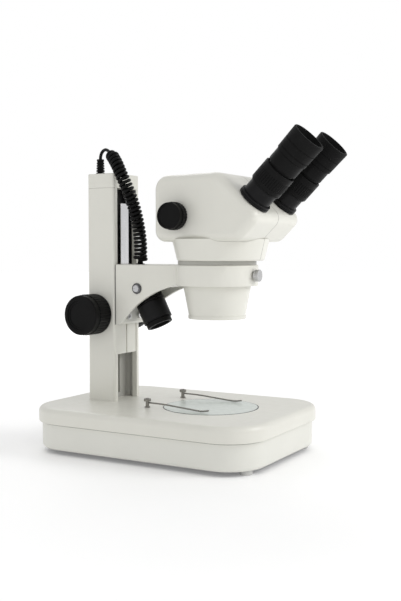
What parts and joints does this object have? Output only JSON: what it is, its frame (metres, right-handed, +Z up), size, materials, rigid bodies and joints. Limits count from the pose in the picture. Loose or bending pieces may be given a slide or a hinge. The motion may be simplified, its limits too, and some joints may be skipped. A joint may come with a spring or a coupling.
{
  "type": "stereo microscope",
  "caption": "Zoom stereo microscope on a column stand: binocular head in a focusing arm, tilting lamp, glass stage with spring clips and a curly lamp cord.",
  "frame": {"origin": "centre of the footprint on the table, below the middle of the stand's length", "axes": "+Z up, -Y towards the user who looks into the eyepieces, +X to the user's right"},
  "size_m": [0.208, 0.3326, 0.3563],
  "materials": {
    "off_white_paint": "satin",
    "cream_plastic": "satin",
    "white_plastic": "matte",
    "opal_plastic": "matte",
    "dark_steel": "matte",
    "grey_rubber": "matte",
    "black_rubber": "matte",
    "cord_black": "satin",
    "plated_steel": "satin",
    "polished_steel": "polished",
    "bronze": "satin",
    "brass": "satin",
    "black_aluminium": "satin",
    "black_plastic": "satin",
    "circuit_board": "satin",
    "stage_glass": "polished",
    "clear_glass": "polished"
  },
  "bodies": {
    "stand": {"base_cover": "off_white_paint", "base_tray": "cream_plastic", "bottom_plate": "dark_steel", "rubber_feet": "grey_rubber", "base_screws": "plated_steel", "stage_glass": "stage_glass", "diffuser_plate": "opal_plastic", "stage_lamp_cup": "white_plastic", "stage_led_board": "circuit_board", "power_board": "circuit_board", "power_inlet": "black_plastic", "switch_frames": "black_plastic", "dimmer_pot": "white_plastic", "column_profile": "off_white_paint", "column_cap": "off_white_paint", "column_bolts": "plated_steel", "column_lead": "cord_black", "focus_bushes": "bronze", "cord_gland_top": "black_rubber", "lamp_cord_plain": "cord_black", "lamp_cord_coil": "cord_black"},
    "focus_drive": {"focus_shaft": "plated_steel", "focus_pinion": "brass", "focus_knobs": "black_plastic"},
    "arm": {"arm_casting": "off_white_paint", "slider_block": "off_white_paint", "slide_bar": "polished_steel", "focus_rack": "brass", "arm_bolts": "plated_steel", "lamp_pivot_screws": "polished_steel", "cord_grommet": "black_rubber"},
    "lamp": {"lamp_barrel": "black_aluminium", "lamp_front_ring": "black_plastic", "lamp_lens": "clear_glass", "lamp_led_board": "circuit_board"},
    "lock_screw": {"lock_screw": "polished_steel"},
    "head": {"head_shell_left": "off_white_paint", "head_shell_right": "off_white_paint", "head_collar": "off_white_paint", "nose_barrel": "off_white_paint", "nose_cone": "off_white_paint", "objective_lenses": "clear_glass", "optics_frame": "black_aluminium"},
    "zoom_drive": {"zoom_shaft": "plated_steel", "zoom_knobs": "black_plastic"},
    "upper_carriage": {"upper_lens_carriage": "black_aluminium"},
    "lower_carriage": {"lower_lens_carriage": "black_aluminium"},
    "left_tube": {"eyetube_left": "black_aluminium"},
    "right_tube": {"eyetube_right": "black_aluminium"},
    "left_dioptre": {"dioptre_ring_left": "black_plastic"},
    "right_dioptre": {"dioptre_ring_right": "black_plastic"},
    "left_eyepiece": {"eyepiece_left": "black_plastic", "eyecup_left": "black_rubber"},
    "right_eyepiece": {"eyepiece_right": "black_plastic", "eyecup_right": "black_rubber"},
    "left_clip": {"stage_clip_left": "polished_steel"},
    "right_clip": {"stage_clip_right": "polished_steel"},
    "stage_lamp_rocker": {"rocker_stage_lamp": "black_plastic"},
    "arm_lamp_rocker": {"rocker_arm_lamp": "black_plastic"},
    "dimmer": {"dimmer_wheel": "black_plastic"}
  },
  "joints": [
    {"name": "focus_slide", "type": "slide", "parent": "stand", "child": "arm", "axis": [0, 0, 1], "range_m": [-0.045, 0.014], "deforming": ["lamp_cord_coil", "lamp_cord_plain"]},
    {"name": "focus_turn", "type": "hinge", "parent": "stand", "child": "focus_drive", "pos_m": [0, 0.1218, 0.154], "axis": [1, 0, 0], "range_deg": [-168, 538]},
    {"name": "lamp_tilt", "type": "hinge", "parent": "arm", "child": "lamp", "pos_m": [0, 0.0635, 0.185], "axis": [1, 0, 0], "range_deg": [-10, 12]},
    {"name": "head_lock", "type": "hinge", "parent": "arm", "child": "lock_screw", "pos_m": [0, -0.073, 0.201], "axis": [0, -1, 0], "range_deg": [-180, 180]},
    {"name": "head_swivel", "type": "hinge", "parent": "arm", "child": "head", "pos_m": [0, -0.027, 0.2], "axis": [0, 0, 1], "range_deg": [-120, 120]},
    {"name": "zoom_turn", "type": "hinge", "parent": "head", "child": "zoom_drive", "pos_m": [0, -0.002, 0.2655], "axis": [1, 0, 0], "range_deg": [-95, 95]},
    {"name": "upper_lens_slide", "type": "slide", "parent": "head", "child": "upper_carriage", "axis": [0, 0, 1], "range_m": [-0.006, 0.006]},
    {"name": "lower_lens_slide", "type": "slide", "parent": "head", "child": "lower_carriage", "axis": [0, 0, 1], "range_m": [-0.006, 0.006]},
    {"name": "left_tube_swing", "type": "hinge", "parent": "head", "child": "left_tube", "pos_m": [-0.034, -0.07476, 0.29474], "axis": [0, -0.7071, 0.7071], "range_deg": [-10, 10]},
    {"name": "left_eyepiece_focus", "type": "slide", "parent": "left_tube", "child": "left_eyepiece", "axis": [0, -0.7071, 0.7071], "range_m": [-0.002, 0.002]},
    {"name": "left_dioptre_turn", "type": "hinge", "parent": "left_tube", "child": "left_dioptre", "pos_m": [-0.034, -0.11153, 0.30323], "axis": [0, -0.7071, 0.7071], "range_deg": [-120, 120]},
    {"name": "left_clip_swing", "type": "hinge", "parent": "stand", "child": "left_clip", "pos_m": [-0.039, 0.041, 0.055], "axis": [0, 0, 1], "range_deg": [-40, 40]},
    {"name": "right_tube_swing", "type": "hinge", "parent": "head", "child": "right_tube", "pos_m": [0.034, -0.07476, 0.29474], "axis": [0, -0.7071, 0.7071], "range_deg": [-10, 10]},
    {"name": "right_eyepiece_focus", "type": "slide", "parent": "right_tube", "child": "right_eyepiece", "axis": [0, -0.7071, 0.7071], "range_m": [-0.002, 0.002]},
    {"name": "right_dioptre_turn", "type": "hinge", "parent": "right_tube", "child": "right_dioptre", "pos_m": [0.034, -0.11153, 0.30323], "axis": [0, -0.7071, 0.7071], "range_deg": [-120, 120]},
    {"name": "right_clip_swing", "type": "hinge", "parent": "stand", "child": "right_clip", "pos_m": [0.039, 0.041, 0.055], "axis": [0, 0, 1], "range_deg": [-40, 40]},
    {"name": "stage_lamp_switch", "type": "hinge", "parent": "stand", "child": "stage_lamp_rocker", "pos_m": [0.012, 0.16, 0.02], "axis": [1, 0, 0], "range_deg": [-8, 8]},
    {"name": "arm_lamp_switch", "type": "hinge", "parent": "stand", "child": "arm_lamp_rocker", "pos_m": [0.046, 0.16, 0.02], "axis": [1, 0, 0], "range_deg": [-8, 8]},
    {"name": "dimmer_turn", "type": "hinge", "parent": "stand", "child": "dimmer", "pos_m": [0.091, 0.062, 0.02], "axis": [0, 0, 1], "range_deg": [-135, 135]}
  ],
  "couplings": [
    {"joint": "focus_turn", "follows": "focus_slide", "rad_per_m": -208.33},
    {"joint": "upper_lens_slide", "follows": "zoom_turn", "m_per_rad": -0.0036},
    {"joint": "lower_lens_slide", "follows": "zoom_turn", "m_per_rad": 0.0036},
    {"joint": "left_dioptre_turn", "follows": "left_eyepiece_focus", "rad_per_m": 1047},
    {"joint": "right_dioptre_turn", "follows": "right_eyepiece_focus", "rad_per_m": 1047},
    {"joint": "right_tube_swing", "follows": "left_tube_swing", "ratio": -1}
  ]
}
